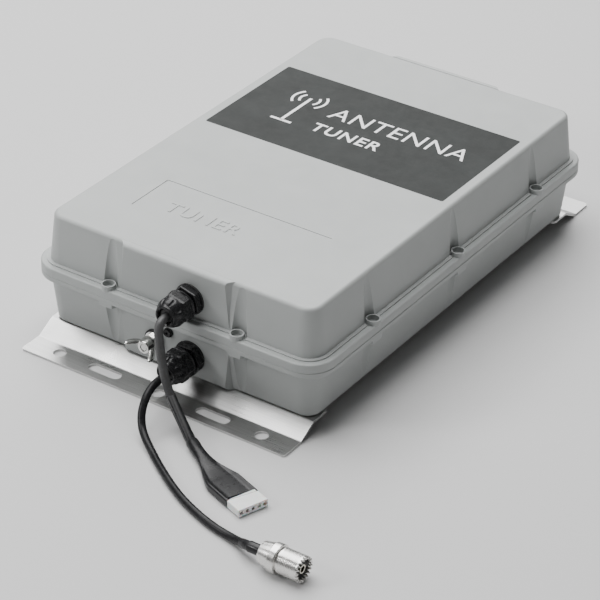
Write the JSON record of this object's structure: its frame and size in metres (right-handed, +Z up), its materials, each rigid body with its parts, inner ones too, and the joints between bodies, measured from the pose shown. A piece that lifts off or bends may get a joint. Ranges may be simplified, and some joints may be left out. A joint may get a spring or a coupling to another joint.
{
  "type": "antenna tuner",
  "caption": "Outdoor antenna tuner: a drafted two-piece grey case on two bent steel brackets, with cable glands, a ground terminal, a coax lead and a control lead.",
  "frame": {"origin": "centre of the footprint on the mounting surface, level with the underside of the bracket feet", "axes": "+Z up, the end wall with the cable glands faces -Y, the long side runs along Y"},
  "size_m": [0.2847, 0.463, 0.085],
  "materials": {
    "case_plastic": "satin light grey moulded casing",
    "label_film": "dark grey printed film",
    "soft_rubber": "black sealing rubber",
    "brass_inserts": "knurled brass",
    "stainless_sheet": "bright rolled stainless sheet",
    "stainless_screws": "stainless screws",
    "black_nylon": "black nylon, satin",
    "plated_hardware": "bright plated steel",
    "insulator_glaze": "dark glazed insulator",
    "board_laminate": "green solder mask",
    "relay_plastic": "dark blue relay covers",
    "core_powder": "red coated powdered iron",
    "enamelled_wire": "enamelled copper",
    "tinned_can": "tinned steel can",
    "chip_epoxy": "black epoxy",
    "capacitor_body": "lacquered ceramic",
    "header_plastic": "cream nylon",
    "cable_jacket": "dark grey cable jacket",
    "coax_jacket": "black cable jacket",
    "heat_shrink": "glossy black heat-shrink tube",
    "white_nylon": "white translucent nylon",
    "contact_metal": "tinned contacts",
    "jack_nickel": "nickel plated brass",
    "jack_plastic": "black insulator"
  },
  "bodies": {
    "case": {"antenna_base_nut": "plated_hardware", "antenna_gasket": "soft_rubber", "antenna_inner_nut": "plated_hardware", "antenna_insulator": "insulator_glaze", "antenna_stud": "plated_hardware", "base_case": "case_plastic", "board_header": "header_plastic", "board_screws": "stainless_screws", "bracket_inserts": "brass_inserts", "bracket_screws": "stainless_screws", "capacitors": "capacitor_body", "case_inserts": "brass_inserts", "circuit_board": "board_laminate", "coax_cable": "coax_jacket", "coax_inner_lead": "coax_jacket", "coax_sleeve": "heat_shrink", "control_chips": "chip_epoxy", "cover_gasket": "soft_rubber", "front_bracket": "stainless_sheet", "ground_base_nut": "plated_hardware", "ground_base_washer": "plated_hardware", "ground_inner_lug": "plated_hardware", "ground_inner_nut": "plated_hardware", "ground_seal_washer": "soft_rubber", "ground_stud": "plated_hardware", "jack_contact": "contact_metal", "jack_insulator": "jack_plastic", "jack_shell": "jack_nickel", "lower_gland_body": "black_nylon", "lower_gland_locknut": "black_nylon", "lower_gland_seal": "soft_rubber", "lower_gland_washer": "soft_rubber", "rear_bracket": "stainless_sheet", "relays": "relay_plastic", "shield_can": "tinned_can", "toroid_cores": "core_powder", "toroid_windings": "enamelled_wire", "vent_plug": "black_nylon"},
    "cover": {"top_cover": "case_plastic", "top_label": "label_film", "cover_screws": "stainless_screws", "upper_gland_body": "black_nylon", "upper_gland_washer": "soft_rubber", "upper_gland_locknut": "black_nylon", "upper_gland_seal": "soft_rubber", "control_inner_lead": "cable_jacket", "control_inner_plug": "header_plastic", "control_cable": "cable_jacket", "connector_boot": "heat_shrink", "connector_housing": "white_nylon", "connector_pins": "contact_metal"},
    "upper_gland_thrust": {"upper_gland_ring": "black_nylon"},
    "upper_gland_cap": {"upper_gland_cap": "black_nylon"},
    "lower_gland_thrust": {"lower_gland_ring": "black_nylon"},
    "lower_gland_cap": {"lower_gland_cap": "black_nylon"},
    "ground_clamp": {"ground_washer": "plated_hardware"},
    "ground_nut": {"ground_wing_nut": "plated_hardware"},
    "antenna_clamp": {"antenna_washer": "plated_hardware"},
    "antenna_nut": {"antenna_thumb_nut": "plated_hardware"}
  },
  "joints": [
    {"name": "cover_lift", "type": "slide", "parent": "case", "child": "cover", "axis": [0, 0, 1], "range_m": [0, 0.12]},
    {"name": "upper_gland_travel", "type": "slide", "parent": "cover", "child": "upper_gland_thrust", "axis": [0, -1, 0], "range_m": [0, 0.003]},
    {"name": "upper_gland_turn", "type": "hinge", "parent": "upper_gland_thrust", "child": "upper_gland_cap", "pos_m": [0.0122, -0.1705, 0.0649], "axis": [0, -1, 0], "range_deg": [0, 720]},
    {"name": "lower_gland_travel", "type": "slide", "parent": "case", "child": "lower_gland_thrust", "axis": [0, -1, 0], "range_m": [0, 0.003]},
    {"name": "lower_gland_turn", "type": "hinge", "parent": "lower_gland_thrust", "child": "lower_gland_cap", "pos_m": [0.0122, -0.1705, 0.0243], "axis": [0, -1, 0], "range_deg": [0, 720]},
    {"name": "ground_nut_travel", "type": "slide", "parent": "case", "child": "ground_clamp", "axis": [0, -1, 0], "range_m": [0, 0.0024]},
    {"name": "ground_nut_turn", "type": "hinge", "parent": "ground_clamp", "child": "ground_nut", "pos_m": [-0.0149, -0.1635, 0.026], "axis": [0, -1, 0], "range_deg": [0, 1080]},
    {"name": "antenna_nut_travel", "type": "slide", "parent": "case", "child": "antenna_clamp", "axis": [0, 1, 0], "range_m": [0, 0.003]},
    {"name": "antenna_nut_turn", "type": "hinge", "parent": "antenna_clamp", "child": "antenna_nut", "pos_m": [0, 0.1735, 0.025], "axis": [0, 1, 0], "range_deg": [0, 1080]}
  ],
  "couplings": [
    {"joint": "upper_gland_travel", "follows": "upper_gland_turn", "m_per_rad": 0.00023873},
    {"joint": "lower_gland_travel", "follows": "lower_gland_turn", "m_per_rad": 0.00023873},
    {"joint": "ground_nut_travel", "follows": "ground_nut_turn", "m_per_rad": 0.00012732},
    {"joint": "antenna_nut_travel", "follows": "antenna_nut_turn", "m_per_rad": 0.00015915}
  ]
}
